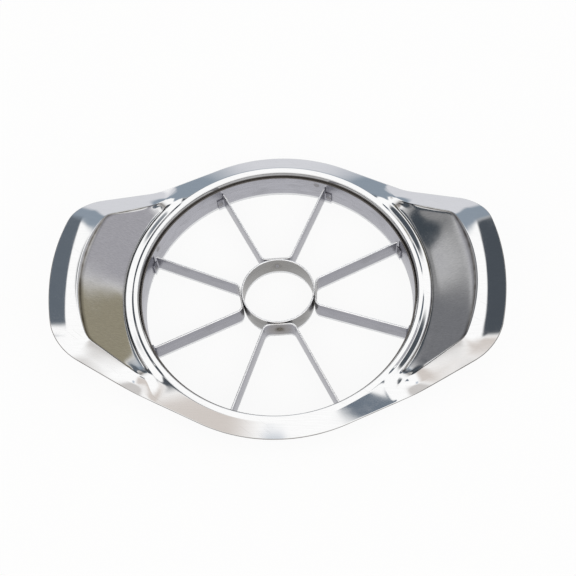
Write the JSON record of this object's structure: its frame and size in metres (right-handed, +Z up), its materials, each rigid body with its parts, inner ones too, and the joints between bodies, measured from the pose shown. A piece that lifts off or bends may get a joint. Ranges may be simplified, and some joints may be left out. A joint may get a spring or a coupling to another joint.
{
  "type": "apple slicer",
  "caption": "Round apple slicer and corer: bent blade strips run from a corer tube to a cutting band, held in a pressed sheet frame with an upswept handle on either side.",
  "frame": {"origin": "on the axis of the round opening, level with the cutting edges: the centre of the bounding box's lower face", "axes": "+X along the handles, +Y across them, +Z up along the opening's axis, away from the cutting edges"},
  "size_m": [0.1602, 0.1182, 0.0267],
  "materials": {
    "frame_steel": "polished stainless sheet",
    "band_steel": "cold-rolled stainless strip, lower edge ground",
    "blade_steel": "cold-rolled stainless strip, lower edge ground",
    "weld_steel": "spot weld with heat tint"
  },
  "bodies": {
    "root": {"frame": "frame_steel", "cutting_band": "band_steel", "corer_tube": "blade_steel", "blade_strip_back": "blade_steel", "blade_strip_right": "blade_steel", "blade_strip_front": "blade_steel", "blade_strip_left": "blade_steel", "weld_corer_back": "weld_steel", "weld_corer_right": "weld_steel", "weld_corer_front": "weld_steel", "weld_corer_left": "weld_steel", "weld_tab_back_1": "weld_steel", "weld_tab_back_2": "weld_steel", "weld_tab_right_1": "weld_steel", "weld_tab_right_2": "weld_steel", "weld_tab_front_1": "weld_steel", "weld_tab_front_2": "weld_steel", "weld_tab_left_1": "weld_steel", "weld_tab_left_2": "weld_steel", "weld_band_back": "weld_steel", "weld_band_right": "weld_steel", "weld_band_front": "weld_steel", "weld_band_left": "weld_steel"}
  },
  "joints": []
}
